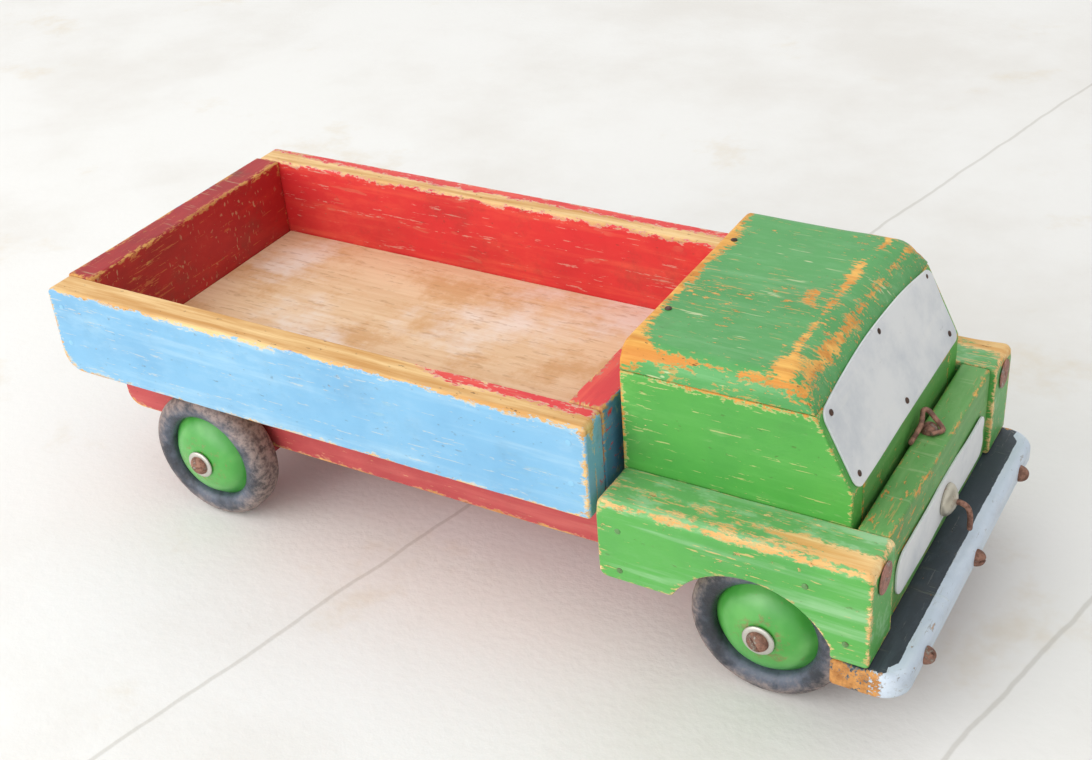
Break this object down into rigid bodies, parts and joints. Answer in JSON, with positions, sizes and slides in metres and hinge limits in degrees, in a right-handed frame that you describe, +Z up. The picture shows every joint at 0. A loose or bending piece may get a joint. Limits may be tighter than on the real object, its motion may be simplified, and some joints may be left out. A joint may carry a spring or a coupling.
{
  "type": "toy dump truck",
  "caption": "Wooden toy truck with a sloped-front cab, board fenders, rubber-tyred wheels and an open load bed that tips backwards on a hinge.",
  "frame": {"origin": "on the ground under the middle of the truck's length and width", "axes": "+X forward, towards the bumper; +Y to the truck's left; +Z up"},
  "size_m": [0.3599, 0.1494, 0.124],
  "materials": {
    "green_painted_wood": "worn satin paint",
    "blue_painted_wood": "worn satin paint",
    "red_painted_wood": "worn satin paint",
    "bare_wood": "raw",
    "bumper_paint": "worn satin paint",
    "sheet_metal": "dull satin",
    "rusty_steel": "rusted",
    "zinc_steel": "dull",
    "hub_paint": "gloss paint with rust",
    "tyre_rubber": "dusty rubber"
  },
  "bodies": {
    "root": {"chassis_board": "red_painted_wood", "front_axle_block": "red_painted_wood", "rear_axle_block": "red_painted_wood", "cab_base": "green_painted_wood", "cab_back_board": "green_painted_wood", "cab_side_left": "green_painted_wood", "cab_side_right": "green_painted_wood", "cab_screen_board": "green_painted_wood", "cab_roof_board": "green_painted_wood", "bonnet_block": "green_painted_wood", "fender_left": "green_painted_wood", "fender_right": "green_painted_wood", "bumper_board": "bumper_paint", "windscreen_plate": "sheet_metal", "grille_plate": "sheet_metal", "windscreen_nails": "rusty_steel", "fender_nails": "rusty_steel", "roof_nails": "rusty_steel", "bumper_screws": "rusty_steel", "wheel_screws": "rusty_steel", "headlight_left": "rusty_steel", "headlight_right": "rusty_steel", "headlight_nails": "rusty_steel", "front_hook": "rusty_steel", "bonnet_clip": "rusty_steel", "bonnet_clip_screw": "rusty_steel", "wheel_washers_outer": "zinc_steel", "wheel_washers_inner": "zinc_steel", "hinge_fixed_leaf": "zinc_steel", "hinge_pin": "zinc_steel", "hinge_fixed_screws": "zinc_steel"},
    "bed": {"bed_side_left": "blue_painted_wood", "bed_side_right": "blue_painted_wood", "bed_front_board": "red_painted_wood", "bed_tail_board": "red_painted_wood", "bed_floor": "bare_wood", "bed_bearer_left": "bare_wood", "bed_bearer_right": "bare_wood", "bed_rear_bearer": "bare_wood", "hinge_moving_leaf": "zinc_steel", "hinge_moving_screws": "zinc_steel", "bed_nails": "rusty_steel"},
    "wheel_front_left": {"tyre_front_left": "tyre_rubber", "hub_outer_disc_front_left": "hub_paint", "hub_inner_disc_front_left": "hub_paint", "hub_bush_front_left": "zinc_steel"},
    "wheel_front_right": {"tyre_front_right": "tyre_rubber", "hub_outer_disc_front_right": "hub_paint", "hub_inner_disc_front_right": "hub_paint", "hub_bush_front_right": "zinc_steel"},
    "wheel_rear_left": {"tyre_rear_left": "tyre_rubber", "hub_outer_disc_rear_left": "hub_paint", "hub_inner_disc_rear_left": "hub_paint", "hub_bush_rear_left": "zinc_steel"},
    "wheel_rear_right": {"tyre_rear_right": "tyre_rubber", "hub_outer_disc_rear_right": "hub_paint", "hub_inner_disc_rear_right": "hub_paint", "hub_bush_rear_right": "zinc_steel"}
  },
  "joints": [
    {"name": "bed_tip", "type": "hinge", "parent": "root", "child": "bed", "pos_m": [-0.1776, 0, 0.0485], "axis": [0, -1, 0], "range_deg": [0, 55]},
    {"name": "wheel_front_left_spin", "type": "hinge", "parent": "root", "child": "wheel_front_left", "pos_m": [0.1236, 0.05415, 0.028], "axis": [0, 1, 0], "continuous": true},
    {"name": "wheel_front_right_spin", "type": "hinge", "parent": "root", "child": "wheel_front_right", "pos_m": [0.1236, -0.05415, 0.028], "axis": [0, 1, 0], "continuous": true},
    {"name": "wheel_rear_left_spin", "type": "hinge", "parent": "root", "child": "wheel_rear_left", "pos_m": [-0.1189, 0.05415, 0.028], "axis": [0, 1, 0], "continuous": true},
    {"name": "wheel_rear_right_spin", "type": "hinge", "parent": "root", "child": "wheel_rear_right", "pos_m": [-0.1189, -0.05415, 0.028], "axis": [0, 1, 0], "continuous": true}
  ]
}
